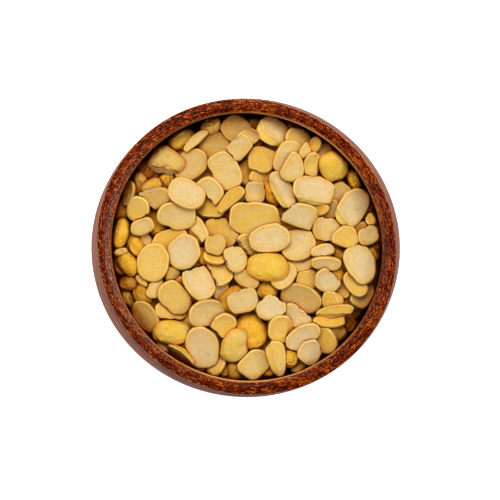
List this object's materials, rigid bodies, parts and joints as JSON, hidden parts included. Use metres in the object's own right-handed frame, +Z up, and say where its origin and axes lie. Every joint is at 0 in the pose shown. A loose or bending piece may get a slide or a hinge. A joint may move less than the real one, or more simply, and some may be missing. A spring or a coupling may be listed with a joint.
{
  "type": "bowl of split broad beans",
  "caption": "Round turned wooden bowl with a flat foot, a slightly oval belly and a rounded rim, filled almost to the rim with split and hulled broad beans.",
  "frame": {"origin": "middle of the flat foot, on the surface that the bowl stands on", "axes": "+Z up through the middle of the bowl; +X along the long way of its slightly oval belly; +Y away from the viewer, towards the top of the picture"},
  "size_m": [0.123, 0.1184, 0.052],
  "materials": {
    "lacquered_wood": "red-brown lacquered hardwood, satin gloss, fine open grain",
    "dried_bean": "dried split beans, yellow outside and cream on the split face, dull"
  },
  "bodies": {
    "root": {"bowl": "lacquered_wood", "bean_heap": "dried_bean"}
  },
  "joints": []
}
